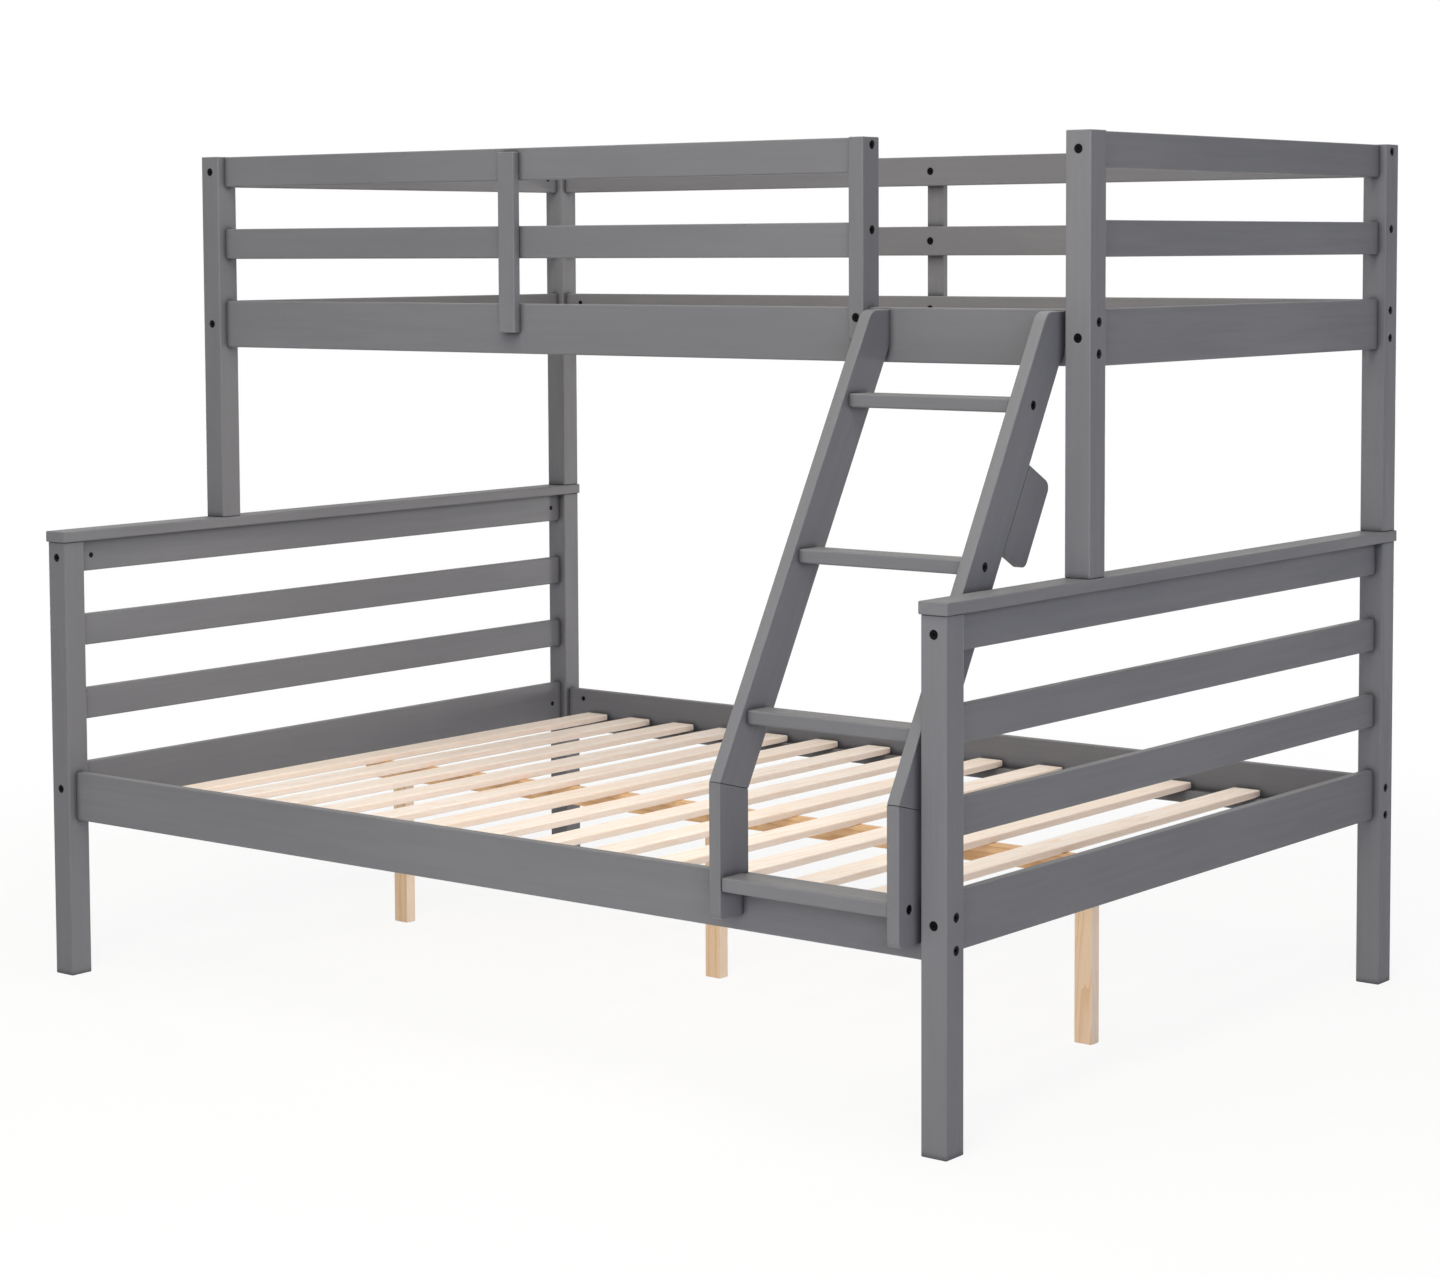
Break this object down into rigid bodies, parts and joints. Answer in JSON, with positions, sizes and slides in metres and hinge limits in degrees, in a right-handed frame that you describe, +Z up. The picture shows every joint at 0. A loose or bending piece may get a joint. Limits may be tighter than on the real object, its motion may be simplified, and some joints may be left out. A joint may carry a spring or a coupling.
{
  "type": "bunk bed with ladder",
  "caption": "Twin-over-full bunk bed of grey painted timber: slatted lower bed with ladder-back ends, guarded upper bunk stacked on pins, and a leaning cranked ladder.",
  "frame": {"origin": "on the floor at the centre of the lower bed, under the foot of the middle leg", "axes": "+X along the bed's length towards the ladder end, +Y to the back (wall side), +Z up"},
  "size_m": [2.028, 1.5, 1.537],
  "materials": {
    "grey_paint": "satin grey paint on solid pine",
    "pine": "bare sanded pine",
    "black_steel": "black oxide",
    "zinc_steel": "zinc plated"
  },
  "bodies": {
    "lower_bed": {"centre_beam": "pine", "centre_leg_left": "pine", "centre_leg_middle": "pine", "centre_leg_right": "pine", "left_end_bottom_rail": "grey_paint", "left_end_cap": "grey_paint", "left_end_lower_rail": "grey_paint", "left_end_top_rail": "grey_paint", "left_end_upper_rail": "grey_paint", "lower_back_rail": "grey_paint", "lower_barrel_nuts": "black_steel", "lower_bolts": "black_steel", "lower_front_rail": "grey_paint", "lower_ledgers": "grey_paint", "lower_post_back_left": "grey_paint", "lower_post_back_right": "grey_paint", "lower_post_front_left": "grey_paint", "lower_post_front_right": "grey_paint", "lower_screws": "zinc_steel", "lower_slats": "pine", "right_end_bottom_rail": "grey_paint", "right_end_cap": "grey_paint", "right_end_lower_rail": "grey_paint", "right_end_top_rail": "grey_paint", "right_end_upper_rail": "grey_paint", "stacking_pins": "zinc_steel"},
    "upper_bunk": {"back_guard_middle_rail": "grey_paint", "back_guard_top_rail": "grey_paint", "back_guard_upright": "grey_paint", "front_guard_middle_rail": "grey_paint", "front_guard_top_rail": "grey_paint", "front_guard_upright": "grey_paint", "guard_end_post": "grey_paint", "upper_back_rail": "grey_paint", "upper_barrel_nuts": "black_steel", "upper_bolts": "black_steel", "upper_front_rail": "grey_paint", "upper_ledgers": "grey_paint", "upper_left_end_bottom_rail": "grey_paint", "upper_left_end_middle_rail": "grey_paint", "upper_left_end_top_rail": "grey_paint", "upper_post_back_left": "grey_paint", "upper_post_back_right": "grey_paint", "upper_post_front_left": "grey_paint", "upper_post_front_right": "grey_paint", "upper_right_end_bottom_rail": "grey_paint", "upper_right_end_middle_rail": "grey_paint", "upper_right_end_top_rail": "grey_paint", "upper_screws": "zinc_steel", "upper_slats": "pine"},
    "ladder": {"ladder_bolts": "black_steel", "ladder_bottom_rung": "grey_paint", "ladder_grab_plate": "grey_paint", "ladder_left_foot": "grey_paint", "ladder_left_stringer": "grey_paint", "ladder_lower_rung": "grey_paint", "ladder_right_foot": "grey_paint", "ladder_right_stringer": "grey_paint", "ladder_top_rung": "grey_paint", "ladder_upper_rung": "grey_paint"}
  },
  "joints": [
    {"name": "upper_bunk_lift", "type": "slide", "parent": "lower_bed", "child": "upper_bunk", "axis": [0, 0, 1], "range_m": [0, 0.12]},
    {"name": "ladder_lift", "type": "slide", "parent": "lower_bed", "child": "ladder", "axis": [0, 0, 1], "range_m": [0, 0.15]}
  ]
}
